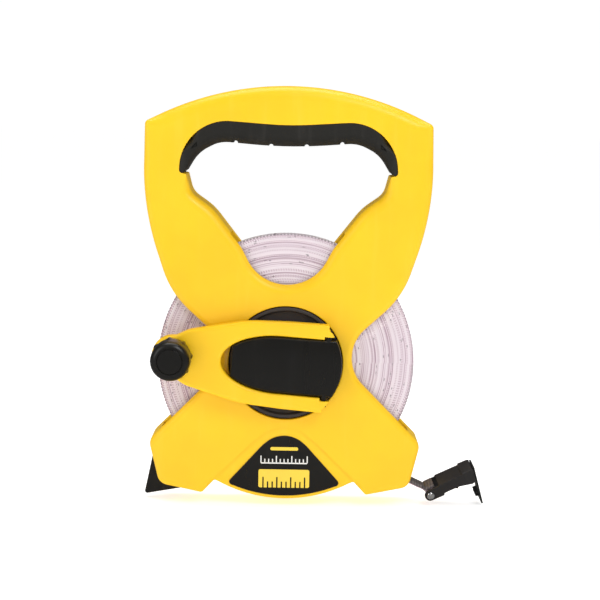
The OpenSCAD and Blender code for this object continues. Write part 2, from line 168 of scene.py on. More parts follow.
def circle(radius, centre=(0, 0), count=96):
    return arc(radius, 0, 360, count, centre)[:-1]


def sharp(points):
    return [(p.x, p.y, 0) for p in points]


def flipped(corners):
    return [(-x, z, r) for x, z, r in corners]


def both_sides(side):
    """A closed outline from its right side, whose first and last corners lie on the middle line."""
    return rounded(side + flipped(side[-2:0:-1]))


def area(points):
    return sum(points[i - 1].cross(p) for i, p in enumerate(points)) / 2


def frame_outline():
    arch_angle = math.degrees(math.acos((FRAME_SIDE[0][0] - FRAME_SIDE[0][2]) / TOP_R))
    arch = arc(TOP_R, arch_angle, 180 - arch_angle, 40, (0, TOP_Z - TOP_R))
    notch = FRAME_SIDE[-1]
    belly_angle = math.degrees(math.atan2(notch[1], notch[0])) - 2
    belly = arc(BELLY_R, -180 - belly_angle, belly_angle, 36)
    return rounded(sharp(arch) + flipped(FRAME_SIDE) + sharp(belly) + FRAME_SIDE[::-1])


def open_outline():
    return both_sides(OPEN_SIDE)


def widths_and_normals(points, radius, limit=None):
    """How far each point of an outline can move into the material, and which way that is.
    The material lies to the left of the outline's direction."""
    count = len(points)
    widths, normals = [], []
    for i, p in enumerate(points):
        before, after = p - points[i - 1], points[(i + 1) % count] - p
        n0 = Vector((-before.y, before.x)).normalized()
        n1 = Vector((-after.y, after.x)).normalized()
        mid = (n0 + n1).normalized()
        normals.append(mid / max(mid.dot(n1), 0.4))
        width = radius
        turn = before.angle_signed(after)
        if turn < -0.002:
            width = min(width, 0.8 * min(before.length, after.length) / (2 * math.tan(-turn / 2)))
        if limit:
            width = min(width, limit(p.x, p.y))
        widths.append(width)
    for order in (range(2 * count), range(2 * count, 0, -1)):
        step = 1 if order[0] == 0 else -1
        for i in order:
            here, there = i % count, (i - step) % count
            slack = 0.6 * (points[here] - points[there]).length
            widths[here] = min(widths[here], widths[there] + slack)
    return widths, normals


def inset(points, distance):
    """An outline moved into its material."""
    widths, normals = widths_and_normals(points, distance)
    return [p + n * w for p, n, w in zip(points, normals, widths)]


# ---- meshes ----

def tube_of_rings(mesh, rings, closed=False):
    """Quads between rings of vertices; closed joins the last ring to the first."""
    pairs = list(zip(rings, rings[1:] + (rings[:1] if closed else [])))
    for ring, following in pairs[:len(rings) if closed else len(rings) - 1]:
        for i in range(len(ring)):
            mesh.faces.new((ring[i - 1], ring[i], following[i], following[i - 1])).smooth = True


def fill(mesh, rings):
    """A flat face with holes, between rings of vertices."""
    flat = [[Vector((v.co.x, v.co.z, 0)) for v in ring] for ring in rings]
    vertices = [v for ring in rings for v in ring]
    for triangle in tessellate_polygon(flat):
        if len(set(triangle)) == 3:
            mesh.faces.new([vertices[i] for i in triangle]).smooth = False


def slab(loops, y0, y1, steps=7):
    """A plate from y0 back to y1. Each loop is (points, front fillet, back fillet, limit); the first is
    the outer edge and the others are holes. The limit gives the widest fillet at (x, z)."""
    mesh = bmesh.new()
    caps = [[], []]
    for index, (points, front, back, limit) in enumerate(loops):
        if (area(points) > 0) != (index == 0):
            points = points[::-1]
        halves = []
        for radius, y, inward in ((front, y0, 1), (back, y1, -1)):
            rings = []
            if radius > 0:
                widths, normals = widths_and_normals(points, radius, limit)
                for k in range(steps + 2):
                    angle = math.pi / 2 * min(1, 1 - (k - 1) / steps)
                    strip = 1.08 if k == 0 else 1
                    rings.append([mesh.verts.new((p.x + n.x * w * strip * (1 - math.cos(angle)),
                                                  y + inward * w * (1 - math.sin(angle)),
                                                  p.y + n.y * w * strip * (1 - math.cos(angle))))
                                  for p, n, w in zip(points, normals, widths)])
            else:
                rings.append([mesh.verts.new((p.x, y, p.y)) for p in points])
            halves.append(rings)
        caps[0].append(halves[0][0])
        caps[1].append(halves[1][0])
        tube_of_rings(mesh, halves[0] + halves[1][::-1])
    fill(mesh, caps[0])
    fill(mesh, caps[1])
    return tidied(mesh)


def tidied(mesh):
    bmesh.ops.remove_doubles(mesh, verts=mesh.verts, dist=0.002)
    bmesh.ops.dissolve_degenerate(mesh, edges=mesh.edges, dist=0.001)
    bmesh.ops.recalc_face_normals(mesh, faces=mesh.faces)
    return mesh


def lathe(profile, count=96, bumps=None, ring_shaped=False):
    """A solid turned around Y from (radius, y) points. bumps gives more radius at (radius, y, angle).
    A ring-shaped one has a profile that closes on itself instead of ends."""
    mesh = bmesh.new()
    rings = []
    for r, y in profile:
        ring = []
        for i in range(count):
            a = 2 * math.pi * i / count
            radius = r + (bumps(r, y, a) if bumps else 0)
            ring.append(mesh.verts.new((radius * math.cos(a), y, radius * math.sin(a))))
        rings.append(ring)
    tube_of_rings(mesh, rings, ring_shaped)
    if not ring_shaped:
        for ring in (rings[0], rings[-1]):
            mesh.faces.new(ring).smooth = False
    return tidied(mesh)


def rod(radius, y0, y1, x=0, z=0, count=64):
    mesh = lathe([(radius, y0), (radius, y1)], count)
    bmesh.ops.translate(mesh, verts=mesh.verts, vec=(x, 0, z))
    return mesh


def block(low, high):
    """A sharp-edged cutter."""
    mesh = bmesh.new()
    size, middle = Vector(high) - Vector(low), (Vector(high) + Vector(low)) / 2
    bmesh.ops.create_cube(mesh, size=1)
    bmesh.ops.scale(mesh, verts=mesh.verts, vec=size)
    bmesh.ops.translate(mesh, verts=mesh.verts, vec=middle)
    return mesh


def moved(mesh, matrix):
    mesh.transform(matrix)
    return mesh


def as_object(mesh, name):
    data = bpy.data.meshes.new(name)
    mesh.to_mesh(data)
    mesh.free()
    piece = bpy.data.objects.new(name, data)
    bpy.context.scene.collection.objects.link(piece)
    return piece


def combined(mesh, others, operation="DIFFERENCE"):
    """The mesh with each of the others cut away, joined or kept in common."""
    base = as_object(mesh, "work")
    tools = [as_object(other, "tool") for other in others]
    for tool in tools:
        modifier = base.modifiers.new("cut", "BOOLEAN")
        modifier.operation = operation
        modifier.solver = "EXACT"
        modifier.object = tool
    evaluated = base.evaluated_get(bpy.context.evaluated_depsgraph_get())
    result = bmesh.new()
    result.from_mesh(evaluated.to_mesh())
    for piece in [base, *tools]:
        bpy.data.objects.remove(piece)
    return tidied(result)


def joined(meshes):
    """Separate solids in one mesh."""
    result = bmesh.new()
    for mesh in meshes:
        data = bpy.data.meshes.new("part")
        mesh.to_mesh(data)
        mesh.free()
        result.from_mesh(data)
        bpy.data.meshes.remove(data)
    return result


def rounded_bar(width, height, radius):
    """A section with rounded corners, as (side, up) points."""
    a, b = width / 2, height / 2
    corners = [(a, b, radius), (-a, b, radius), (-a, -b, radius), (a, -b, radius)]
    return [(p.x, p.y) for p in rounded(corners)]


def add_piece(name, mesh, place, material, body, replaced=(), crease=32):
    """Puts a mesh in the row frame as a finished piece that rides on a body."""
    moved(mesh, TO_ROW @ place)
    piece = as_object(mesh, name)
    piece.data.materials.append(material)
    piece.data.set_sharp_from_angle(angle=math.radians(crease))
    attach(piece, body)
    if replaced:
        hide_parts(*replaced)
    return piece


# ---- materials ----

def shader(name, colour, roughness, **sockets):
    """A new material and its nodes, with even values set on the shader itself."""
    material = bpy.data.materials.new(name)
    material.use_nodes = True
    nodes = material.node_tree.nodes
    principled = nodes["Principled BSDF"]
    principled.inputs["Base Color"].default_value = (*colour, 1)
    principled.inputs["Roughness"].default_value = roughness
    for socket, value in sockets.items():
        principled.inputs[socket.replace("_", " ")].default_value = value
    return material, nodes, material.node_tree.links, principled


def noise_node(nodes, links, coordinates, size, detail=2.0, stretch=(1, 1, 1)):
    """Noise with features of that size in metres."""
    mapping = nodes.new("ShaderNodeMapping")
    mapping.inputs["Scale"].default_value = [s / size for s in stretch]
    links.new(coordinates, mapping.inputs["Vector"])
    texture = nodes.new("ShaderNodeTexNoise")
    texture.inputs["Scale"].default_value = 1
    texture.inputs["Detail"].default_value = detail
    links.new(mapping.outputs["Vector"], texture.inputs["Vector"])
    return texture.outputs["Fac"]


def mapped(nodes, links, value, from_min, from_max, to_min, to_max):
    node = nodes.new("ShaderNodeMapRange")
    node.inputs["From Min"].default_value = from_min
    node.inputs["From Max"].default_value = from_max
    node.inputs["To Min"].default_value = to_min
    node.inputs["To Max"].default_value = to_max
    links.new(value, node.inputs["Value"])
    return node.outputs["Result"]


def calculated(nodes, links, operation, first, second=None):
    node = nodes.new("ShaderNodeMath")
    node.operation = operation
    for socket, value in zip(node.inputs, (first, second)):
        if isinstance(value, (int, float)):
            socket.default_value = value
        elif value is not None:
            links.new(value, socket)
    return node.outputs["Value"]


def mixed(nodes, links, factor, first, second):
    """A colour between two colours, each a tuple or a socket."""
    node = nodes.new("ShaderNodeMix")
    node.data_type = "RGBA"
    links.new(factor, node.inputs["Factor"])
    for socket, value in ((node.inputs["A"], first), (node.inputs["B"], second)):
        if isinstance(value, tuple):
            socket.default_value = (*value, 1)
        else:
            links.new(value, socket)
    return node.outputs["Result"]


def bumped(nodes, links, principled, height, depth, strength=1.0):
    node = nodes.new("ShaderNodeBump")
    node.inputs["Distance"].default_value = depth
    node.inputs["Strength"].default_value = strength
    links.new(height, node.inputs["Height"])
    links.new(node.outputs["Normal"], principled.inputs["Normal"])


def moulded(name, colour, worn, roughness, grain, grain_depth, scuffs=0.12, **sockets):
    """Moulded plastic or rubber: fine grain, a little unevenness of tone, and faint scuffs."""
    material, nodes, links, principled = shader(name, colour, roughness, **sockets)
    place = nodes.new("ShaderNodeTexCoord").outputs["Object"]
    cloud = noise_node(nodes, links, place, 0.035, 3)
    scuff = noise_node(nodes, links, place, 0.006, 4, (1, 1, 0.12))
    scuffed = mapped(nodes, links, scuff, 0.58, 0.75, 0, 1)
    shade = mixed(nodes, links, mapped(nodes, links, cloud, 0.35, 0.65, 0, 1),
                  tuple(c * 0.97 for c in colour), tuple(min(1, c * 1.03) for c in colour))
    links.new(mixed(nodes, links, calculated(nodes, links, "MULTIPLY", scuffed, scuffs), shade, worn),
              principled.inputs["Base Color"])
    links.new(mapped(nodes, links, scuff, 0.3, 0.75, roughness - 0.05, roughness + 0.1),
              principled.inputs["Roughness"])
    bumped(nodes, links, principled, noise_node(nodes, links, place, grain, 2), grain_depth, 0.6)
    return material


def metal(name, colour, roughness, stretch):
    """Turned or rolled metal with fine marks along one direction."""
    material, nodes, links, principled = shader(name, colour, roughness, Metallic=1.0)
    place = nodes.new("ShaderNodeTexCoord").outputs["Object"]
    marks = noise_node(nodes, links, place, 0.0012, 3, stretch)
    darker, lighter = tuple(c * 0.8 for c in colour), tuple(min(1, c * 1.15) for c in colour)
    links.new(mixed(nodes, links, marks, darker, lighter), principled.inputs["Base Color"])
    links.new(mapped(nodes, links, marks, 0.3, 0.7, roughness - 0.06, roughness + 0.1),
              principled.inputs["Roughness"])
    bumped(nodes, links, principled, marks, 0.00002)
    return material


def tape_material():
    """Glass-fibre ribbon: pinkish white, with fine marks printed at both edges. Its UV map holds the
    distance along the tape in millimetres, and the turn plus half the share of the width."""
    white, rose = (0.86, 0.78, 0.825), (0.77, 0.635, 0.71)
    mauve, ink = (0.42, 0.26, 0.34), (0.11, 0.075, 0.1)
    material, nodes, links, principled = shader("tape_ribbon", white, 0.5)
    uv = nodes.new("ShaderNodeUVMap")
    uv.uv_map = "tape"
    split = nodes.new("ShaderNodeSeparateXYZ")
    links.new(uv.outputs["UV"], split.inputs["Vector"])
    along, turn_and_width = split.outputs["X"], split.outputs["Y"]
    turn = calculated(nodes, links, "FLOOR", turn_and_width)
    width = calculated(nodes, links, "MULTIPLY", calculated(nodes, links, "FRACT", turn_and_width), 2)
    from_middle = calculated(nodes, links, "ABSOLUTE", calculated(nodes, links, "SUBTRACT", width, 0.5))

    def ticks(pitch, share, reach):
        """1 on a mark: every pitch millimetres, that share of it wide, from the edge to that reach."""
        phase = calculated(nodes, links, "FRACT", calculated(nodes, links, "DIVIDE", along, pitch))
        on = calculated(nodes, links, "LESS_THAN", phase, share)
        near_edge = calculated(nodes, links, "GREATER_THAN", from_middle, 0.5 - reach)
        return calculated(nodes, links, "MULTIPLY", on, near_edge)

    def random_by_turn(seed, stretch=1e6):
        """A random number for each turn, or for each stretch of it in millimetres."""
        cell = nodes.new("ShaderNodeCombineXYZ")
        cell.inputs["Z"].default_value = seed
        links.new(calculated(nodes, links, "FLOOR", calculated(nodes, links, "DIVIDE", along, stretch)),
                  cell.inputs["X"])
        links.new(turn, cell.inputs["Y"])
        source = nodes.new("ShaderNodeTexWhiteNoise")
        source.noise_dimensions = "3D"
        links.new(cell.outputs["Vector"], source.inputs["Vector"])
        return source.outputs["Value"]

    def times(first, second):
        return calculated(nodes, links, "MULTIPLY", first, second)

    colour = mixed(nodes, links, times(random_by_turn(1), 0.45), white, rose)
    line = mapped(nodes, links, random_by_turn(2), 0.84, 0.88, 0, 0.95)
    colour = mixed(nodes, links, times(line, mapped(nodes, links, random_by_turn(3, 45), 0, 1, 0.45, 1)),
                   colour, mauve)
    dotted = mapped(nodes, links, random_by_turn(4), 0.62, 0.95, 0, 0.75)
    colour = mixed(nodes, links, times(ticks(1.6, 0.45, 0.2), dotted), colour, mauve)
    speck = calculated(nodes, links, "GREATER_THAN", random_by_turn(5, 1.3), 0.993)
    colour = mixed(nodes, links, times(times(speck, ticks(1, 1, 0.2)), 0.75), colour, ink)
    last = calculated(nodes, links, "GREATER_THAN", turn, LAST_TURN)
    colour = mixed(nodes, links, times(times(last, ticks(2.2, 0.55, 0.2)), 0.75), colour, ink)
    colour = mixed(nodes, links, times(ticks(FOOT, 0.006, 1), 0.6), colour, ink)
    links.new(colour, principled.inputs["Base Color"])
    place = nodes.new("ShaderNodeTexCoord").outputs["Object"]
    weave = noise_node(nodes, links, place, 0.0006, 2)
    links.new(mapped(nodes, links, weave, 0.3, 0.7, 0.42, 0.6), principled.inputs["Roughness"])
    bumped(nodes, links, principled, weave, 0.00004)
    return material


def strap_material():
    """Black webbing laminated in plastic: a fine weave that shows through."""
    colour, thread = (0.1, 0.085, 0.085), 0.0009
    material, nodes, links, principled = shader("strap", colour, 0.42)
    place = nodes.new("ShaderNodeTexCoord").outputs["Object"]
    waves = []
    for direction in ("X", "Y"):
        wave = nodes.new("ShaderNodeTexWave")
        wave.bands_direction = direction
        wave.inputs["Scale"].default_value = 1 / thread / 6.28
        wave.inputs["Distortion"].default_value = 1.5
        links.new(place, wave.inputs["Vector"])
        waves.append(wave.outputs["Fac"])
    weave = calculated(nodes, links, "MULTIPLY", *waves)
    links.new(mixed(nodes, links, weave, tuple(c * 0.8 for c in colour), tuple(c * 1.7 for c in colour)),
              principled.inputs["Base Color"])
    links.new(mapped(nodes, links, weave, 0, 1, 0.5, 0.36), principled.inputs["Roughness"])
    bumped(nodes, links, principled, weave, 0.00008)
    return material


YELLOW = moulded("yellow_plastic", (0.96, 0.58, 0.010), (1, 0.7, 0.07), 0.36, 0.00045, 0.00003,
                 Specular_IOR_Level=0.4)
BLACK = moulded("black_plastic", (0.0075, 0.0068, 0.0055), (0.03, 0.028, 0.026), 0.3, 0.0005, 0.00003)
# Painted sheen: the hub's dish is the same black plastic as the bar, given a lighter black to stand in for
# light caught in its recess.
HUB_BLACK_PAINTED_SHEEN = moulded("hub_black_painted_sheen", (0.05, 0.043, 0.042), (0.09, 0.08, 0.08), 0.5, 0.0005, 0.00003)
BLACK_FLAT = moulded("hook_black", (0.018, 0.0155, 0.015), (0.06, 0.055, 0.054), 0.42, 0.0007, 0.00006)
RUBBER = moulded("grip_rubber", (0.014, 0.0125, 0.009), (0.045, 0.041, 0.036), 0.6, 0.0007, 0.00012, 0.3)
BLACK_STEEL = moulded("black_metal", (0.010, 0.0095, 0.0085), (0.13, 0.125, 0.12), 0.42,
                      0.0016, 0.00005, 0.2)
LABEL = moulded("label_film", (0.0095, 0.0088, 0.0078), (0.03, 0.03, 0.03), 0.3, 0.003, 0.00002)
PRINT_WHITE = moulded("print_white", (0.86, 0.86, 0.84), (0.7, 0.7, 0.68), 0.35, 0.002, 0.00001)
PRINT_YELLOW = moulded("print_yellow", (0.92, 0.66, 0.06), (0.8, 0.6, 0.1), 0.35, 0.002, 0.00001)
STEEL = metal("steel", (0.56, 0.57, 0.58), 0.32, (1, 0.1, 1))
BRIGHT = metal("rivet_metal", (0.86, 0.86, 0.87), 0.2, (1, 1, 1))
TAPE = tape_material()
STRAP = strap_material()


# ---- the case ----

def grip_limit(x, z):
    """Fillets of the hand opening: nearly sharp where the grip lies against it."""
    return 0.45 + 6 * max(0, min(1, (119 - z) / 8))


def outer_limit(x, z):
    """Fillets of the case's outer edge: wide along the arched top."""
    return 3.8 + 3.6 * max(0, min(1, (z - 120) / 30))


def spike_slot():
    """A cutter for the room that the spike plate is held in, between the shells."""
    return slab([(rounded(SPIKE), 0, 0, None)], SEAM - 2.05, SEAM + 2.05)


def mouth():
    """A cutter for the tape's way out."""
    return moved(block((-23, -8, -2.2), (-3, 8, 4.2)), EXIT)


def cavity(y0, y1):
    """A cutter for the inside of the case, one wall in from its outlines."""
    outer, hole = frame_outline(), open_outline()
    outer = inset(outer if area(outer) > 0 else outer[::-1], WALL)
    hole = inset(hole if area(hole) < 0 else hole[::-1], WALL)
    return slab([(outer, 0, 0, None), (hole, 0, 0, None)], y0, y1)


def front_case():
    """The front shell: open to the coil in its waist and its V, with a sunk panel for the label."""
    well_r, well_z = 91, -46
    low = math.degrees(math.asin(well_z / well_r))
    well = slab([(arc(well_r, low, 180 - low, 120), 0, 0, None)], PLATE, SEAM + 1)
    panel = slab([(rounded(PANEL), 0, 0, None)], FRONT - 1, PANEL_FLOOR)
    body = slab([(frame_outline(), 7.4, 0.35, outer_limit), (open_outline(), 6.4, 0.35, grip_limit),
                 (circle(HUB_HOLE_R), 0.7, 0, None)], FRONT, SEAM)
    return combined(body, [cavity(PLATE, SEAM + 1), well, panel, spike_slot(), mouth()])


def back_case():
    """The back shell, with sunk holes for the screws and the axle's head and one shallow ring."""
    screw_boss_r, screw_hole_r, axle_boss_r, axle_hole_r = 5.1, 3.5, 10.5, 8.5
    ring_out, ring_in = 35, 33.6
    body = slab([(frame_outline(), 0.35, 3.2, None), (open_outline(), 0.35, 3.2, grip_limit)], SEAM, BACK)
    bosses = [rod(screw_boss_r, SEAM + 0.05, BACK - 1, x, z, 32) for x, z in SCREWS]
    bosses.append(rod(axle_boss_r, SEAM + 0.1, BACK - 1))
    holes = [rod(screw_hole_r, BACK - 4, BACK + 1, x, z, 48) for x, z in SCREWS]
    holes.append(rod(axle_hole_r, BACK - 2.6, BACK + 1))
    groove = slab([(circle(ring_out), 0, 0, None), (circle(ring_in), 0, 0, None)], BACK - 0.6, BACK + 1)
    shell = combined(body, [cavity(SEAM - 1, BACK - WALL)])
    shell = combined(shell, bosses, "UNION")
    return combined(shell, [*holes, groove, spike_slot(), mouth()])


def grip():
    """The rubber grip: soft along its underside, with four finger bites that flare at both faces."""
    def limit(x, z):
        outside = z > 136.5 + 0.0009 * x * x + (10 if abs(x) < 50 else 8) or abs(x) > 67.5
        return 0.6 if outside else min(6, 1 + max(0, z - 119) * 0.3)
    body = slab([(both_sides(GRIP_SIDE), 6, 6, limit)], FRONT + 0.5, BACK - 0.5, 9)
    bite = [(3.6, FRONT - 1), (3.4, FRONT + 1.6), (2.9, FRONT + 3), (1.9, FRONT + 5), (1.5, FRONT + 8),
            (1.5, BACK - 8), (1.9, BACK - 5), (2.9, BACK - 3), (3.4, BACK - 1.6), (3.6, BACK + 1)]
    cutters = []
    for i in (-1.5, -0.5, 0.5, 1.5):
        place = Matrix.Translation((FINGER_X * i, 0, 137.6 + 1.8 * abs(i)))
        cutters.append(moved(lathe(bite, 32), place))
    return combined(body, cutters)


def label_outline():
    """The label's sides come down to an arc along the belly."""
    side = LABEL_SIDE
    low = math.degrees(math.atan2(side[-1][1], side[-1][0])) - 1.5
    bottom = arc(BELLY_R - 2.5, low, -180 - low, 24)
    return rounded(side + sharp(bottom) + flipped(side[:0:-1]))


def plate_print(x0, z0, x1, z1, radius=0.3):
    """A thin printed patch on the label."""
    corners = [(x0, z0, radius), (x1, z0, radius), (x1, z1, radius), (x0, z1, radius)]
    return slab([(rounded(corners), 0, 0, None)], LABEL_FACE - 0.04, LABEL_FACE + 0.02)


def label_prints():
    """Plain graduations where a maker's words would be."""
    left, foot, pitch, half = -15, -65.6, 2.5, 0.35
    white = [plate_print(left, foot - 0.6, -left, foot + 0.2)]
    for i in range(13):
        x = left + pitch * i
        top = foot + (4.6 if i % 4 == 0 else 2.6)
        white.append(plate_print(x - half, foot, x + half, top, 0.1))
    yellow = [plate_print(-16.5, -82, 16.5, -70, 1.2), plate_print(-9, -57.4, 9, -55.2, 1)]
    return joined(white), joined(yellow)


def scale_bar_marks():
    """Black graduations on the label's yellow scale."""
    marks = []
    foot, half = -82, 0.45
    for i in range(10):
        top = foot + (7 if i % 3 == 0 else 4)
        x = -13.5 + 3 * i
        corners = [(x - half, foot, 0), (x + half, foot, 0), (x + half, top, 0.3), (x - half, top, 0.3)]
        marks.append(slab([(rounded(corners), 0, 0, None)], LABEL_FACE - 0.08, LABEL_FACE - 0.02))
    return joined(marks)


def screw_heads():
    """Sunk cross-head screws, each turned its own way."""
    heads = []
    arm, half = 1.7, 0.35
    for x, z in SCREWS:
        head = lathe([(2.2, BACK - 4), (3, BACK - 3.8), (3, BACK - 2.7), (2.6, BACK - 2.2),
                      (1.6, BACK - 2)], 40)
        cross = [block((-a, BACK - 3, -b), (a, BACK, b)) for a, b in ((arm, half), (half, arm))]
        turn = Matrix.Rotation(math.radians(37 * x + 11), 4, "Y")
        heads.append(moved(combined(head, cross), Matrix.Translation((x, 0, z)) @ turn))
    return joined(heads)


def axle_head():
    """The axle bolt, with a slotted head."""
    head = lathe([(4, BACK - 14), (4, BACK - 2.6), (7.7, BACK - 2.6), (8, BACK - 2.3), (8, BACK - 1),
                  (7.4, BACK - 0.5), (6, BACK - 0.4)], 72)
    return combined(head, [block((-5.5, BACK - 1.8, -0.9), (5.5, BACK, 0.9))])


# ---- the reel and its crank ----

def ribbon(rings, marks, widths):
    """A tape from rings of four corners. Its UV map takes each ring's mark, which is its distance along
    the tape and its turn, and each corner's half share of the width."""
    mesh = bmesh.new()
    layer = mesh.loops.layers.uv.new("tape")
    rings = [[mesh.verts.new(place) for place in ring] for ring in rings]
    for i in range(len(rings) - 1):
        (here, turn), (there, _) = marks[i], marks[i + 1]
        for k in range(4):
            face = mesh.faces.new((rings[i][k - 1], rings[i][k], rings[i + 1][k], rings[i + 1][k - 1]))
            face.smooth = True
            places = ((here, k - 1), (here, k), (there, k), (there, k - 1))
            for loop, (along, edge) in zip(face.loops, places):
                loop[layer].uv = (along, turn + 0.005 + widths[edge])
    for ring in (rings[0], rings[-1]):
        mesh.faces.new(ring)
    bmesh.ops.recalc_face_normals(mesh, faces=mesh.faces)
    return mesh


def coil():
    """The wound tape: one ribbon from the drum out, whose turns lie a little forward or back."""
    per_turn = 110
    turns = (COIL_R - DRUM_R) / TAPE_PITCH
    rings, marks = [], []
    length = 0
    for i in range(int(turns * per_turn) + 1):
        turn = i / per_turn
        a = 2 * math.pi * turn
        r = DRUM_R + TAPE_PITCH * turn
        length += 2 * math.pi * r / per_turn
        slow = 0.28 * noise.noise(Vector((turn * 0.9, 3.1, 0)))
        quick = 0.14 * noise.noise(Vector((turn * 5, 9.7, 0)))
        step = 0.55 * noise.noise(Vector((math.floor(turn / 3.3) * 7.7, 0.5, 4)))
        shift = slow + quick + step
        out = r + TAPE_THICK + 0.03 * noise.noise(Vector((turn * 3, 1.7, 8)))
        side = Vector((math.cos(a), 0, -math.sin(a)))
        section = ((r, COIL_FRONT), (out, COIL_FRONT), (out, COIL_BACK), (r, COIL_BACK))
        rings.append([side * radius + Vector((0, y + shift, 0)) for radius, y in section])
        marks.append((length, math.floor(turn)))
    return ribbon(rings, marks, (0.0, 0.0, 0.49, 0.49))


def hub_dish():
    """The dished round cover in the hub hole, with a rounded rim and a flange behind the plate."""
    floor, rim = FRONT + 3.8, FRONT + 1
    profile = [(0.05, floor), (26, floor), (31, floor - 0.2), (33, floor - 0.9), (33.7, rim + 0.5),
               (34.1, rim + 0.05), (34.6, rim), (35.5, rim), (36, rim + 0.25), (HUB_R, rim + 0.8),
               (HUB_R, PLATE + 0.4), (DRUM_R, PLATE + 0.5), (DRUM_R, FRONT + 5.8), (0.05, FRONT + 5.8)]
    return lathe(profile, 144)


SLOT_X, SLOT_LONG, SLOT_HALF = -4, 37.3, 18.7
BAR_HALF = 18.2


def slot_curve(long, half, low, high, count):
    """Part of the ellipse that ends the fork's slot, between two angles in degrees."""
    points = []
    for i in range(count + 1):
        a = math.radians(low + (high - low) * i / count)
        points.append(Vector((SLOT_X + long * math.cos(a), half * math.sin(a))))
    return points


def bar_outline():
    """It follows the fork's slot to the left, ends square, and is round with the hub to the right."""
    long, left = SLOT_LONG - 0.7, -HUB_R + 1.4
    cut = math.degrees(math.acos((left - SLOT_X) / long))
    reach = math.degrees(math.asin(BAR_HALF / HUB_R))
    return (arc(HUB_R, -reach, reach, 30) + slot_curve(long, BAR_HALF, 90, cut, 24)
            + slot_curve(long, BAR_HALF, -cut, -90, 24))


def crowned(mesh, front):
    """The bar with its flat face made to fall away a little towards its ends and sides."""
    planes = [((x, 0, 0), (1, 0, 0)) for x in range(-32, 36, 4)]
    planes += [((0, 0, z), (0, 0, 1)) for z in range(-16, 20, 4)]
    for place, normal in planes:
        everything = [*mesh.verts, *mesh.edges, *mesh.faces]
        bmesh.ops.bisect_plane(mesh, geom=everything, plane_co=place, plane_no=normal)
    for vertex in mesh.verts:
        if vertex.co.y < front + 2:
            vertex.co.y += 1.3 * abs(vertex.co.x / 35) ** 3 + 1.1 * abs(vertex.co.z / 18) ** 3
    for face in mesh.faces:
        face.smooth = True
    return mesh


def hub_bar():
    """The bar in the fork's slot, on a lower ledge under the hinge, with its right end cut slanting."""
    ledge_half = 21
    front = ARM_FRONT + 0.6
    bar = slab([(bar_outline(), 1.8, 0, None)], front, FRONT + 3.9)
    reach = math.degrees(math.asin(ledge_half / (HUB_R - 1)))
    ledge_points = [Vector((hinge.x - 8, ledge_half)), Vector((hinge.x - 8, -ledge_half))]
    ledge_points += arc(HUB_R - 1, -reach, reach, 24)
    ledge = slab([(ledge_points, 0.4, 0, None)], ARM_BACK + 0.8, FRONT + 3.9)
    facet = moved(block((0, -10, -40), (12, 0, 40)),
                  Matrix.Translation((HUB_R - 3.4, front, 0)) @ Matrix.Rotation(math.radians(-35), 4, "Z"))
    return crowned(combined(combined(bar, [ledge], "UNION"), [facet]), front)


def fork_outline():
    """The arm: round at the knob, wide at the hinge, and open to the right around the bar."""
    end_x, end_r = knob_axis.x, 13.5
    right = hinge.x - 0.1
    side = [(right, ARM_HALF, 0.8), (0, ARM_HALF - 0.2, 60), (-27, ARM_HALF - 1.6, 90), (-63, 18, 20),
            (end_x + 1, end_r, 0)]
    cap = sharp(arc(end_r, 90, 270, 24, (end_x, 0)))
    lower = [(x, -z, r) for x, z, r in side[::-1]]
    slot = sharp(slot_curve(SLOT_LONG, SLOT_HALF, -90, -270, 40))
    mouth_half = SLOT_HALF + 0.3
    return rounded(side + cap + lower + [(right, -mouth_half, 0.6)] + slot + [(right, mouth_half, 0.6)])


def crank_arm():
    """The fork, with round ears on its hinge that stay inside the hub's circle."""
    ear_in, knuckle_r, stud_head_r = 20.8, 4.4, 5.8
    ear_half, ear_z = (ARM_HALF - ear_in) / 2, (ARM_HALF + ear_in) / 2
    ears = []
    for s in (-1, 1):
        knuckle = moved(rod(knuckle_r, -ear_half, ear_half), Matrix.Rotation(math.pi / 2, 4, "X"))
        knuckle = moved(knuckle, Matrix.Translation((hinge.x, hinge.y, s * ear_z)))
        inside_hub = rod(HUB_R, ARM_FRONT - 2, ARM_BACK + 2, count=180)
        ears.append(combined(knuckle, [inside_hub], "INTERSECT"))
    arm = combined(slab([(fork_outline(), 2.2, 1.2, None)], ARM_FRONT, ARM_BACK), ears, "UNION")
    gap = block((hinge.x - 2.6, ARM_FRONT - 1, -ear_in), (hinge.x + 20, ARM_BACK + 1, ear_in))
    return combined(arm, [gap, rod(stud_head_r, ARM_BACK - 2, ARM_BACK + 1, knob_axis.x, 0)])


def knob():
    """A plain round knob with short ribs round its base, hollow at its face for the cap."""
    radius, rib_count = 12.6, 8
    profile = [(3.2, KNOB_BACK), (radius - 1.8, KNOB_BACK), (radius - 1, KNOB_BACK - 0.5),
               (radius - 0.5, KNOB_BACK - 2), (radius - 0.2, KNOB_BACK - 5), (radius, KNOB_BACK - 9),
               (radius, KNOB_BACK - 14), (radius - 0.1, KNOB_FRONT + 5.2)]
    for i in range(1, 10):
        a = math.pi / 2 * i / 9
        profile.append((radius - 4.3 + 4.2 * math.cos(a), KNOB_FRONT + 4.4 - 4.4 * math.sin(a)))
    profile += [(8.15, KNOB_FRONT), (8, KNOB_FRONT + 0.2), (8, KNOB_FRONT + 5), (3.2, KNOB_FRONT + 5)]

    def ribs(r, y, a):
        share = (KNOB_BACK - y - 0.4) / 12
        if r < 10 or not 0 < share < 1:
            return 0
        peak = max(0, math.cos(rib_count * (a - 0.2))) ** 3
        return peak * min(1, math.sin(math.pi * share) * 2)

    rows = []
    for (r0, y0), (r1, y1) in zip(profile, profile[1:]):
        pieces = 6 if abs(y1 - y0) > 2 and r0 > 10 else 1
        rows += [(r0 + (r1 - r0) * k / pieces, y0 + (y1 - y0) * k / pieces) for k in range(pieces)]
    rows.append(profile[-1])
    return lathe(rows, 160, ribs, ring_shaped=True)


